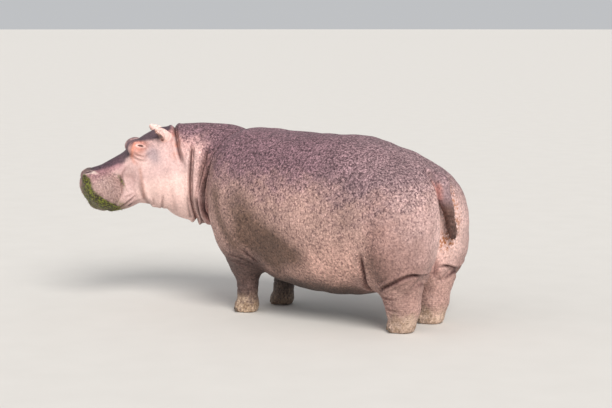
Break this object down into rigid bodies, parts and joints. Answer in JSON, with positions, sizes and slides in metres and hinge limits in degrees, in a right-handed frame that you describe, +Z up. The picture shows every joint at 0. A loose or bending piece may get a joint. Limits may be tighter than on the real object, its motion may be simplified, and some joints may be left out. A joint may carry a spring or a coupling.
{
  "type": "hippopotamus",
  "caption": "Adult common hippopotamus standing still on its feet, barrel body with folded neck and head turned to its left, mouth closed.",
  "frame": {"origin": "on the floor under the middle of the animal's bounding box", "axes": "+Z up, -X the way the body faces, +X toward the tail, -Y the animal's left, to which the head is turned"},
  "size_m": [2.9991, 1.3864, 1.4474],
  "materials": {
    "skin": "matt bare hide, purplish brown above and pink below",
    "eye": "wet gloss",
    "nail": "dull horn"
  },
  "bodies": {
    "root": {"head": "skin", "neck": "skin", "trunk": "skin", "tail": "skin", "leg_front_left": "skin", "leg_front_right": "skin", "leg_hind_left": "skin", "leg_hind_right": "skin", "ear_left": "skin", "ear_right": "skin", "eye_left": "eye", "eye_right": "eye", "nail_front_left_inner": "nail", "nail_front_left_front_inner": "nail", "nail_front_left_front_outer": "nail", "nail_front_left_outer": "nail", "nail_front_right_inner": "nail", "nail_front_right_front_inner": "nail", "nail_front_right_front_outer": "nail", "nail_front_right_outer": "nail", "nail_hind_left_inner": "nail", "nail_hind_left_front_inner": "nail", "nail_hind_left_front_outer": "nail", "nail_hind_left_outer": "nail", "nail_hind_right_inner": "nail", "nail_hind_right_front_inner": "nail", "nail_hind_right_front_outer": "nail", "nail_hind_right_outer": "nail"}
  },
  "joints": []
}
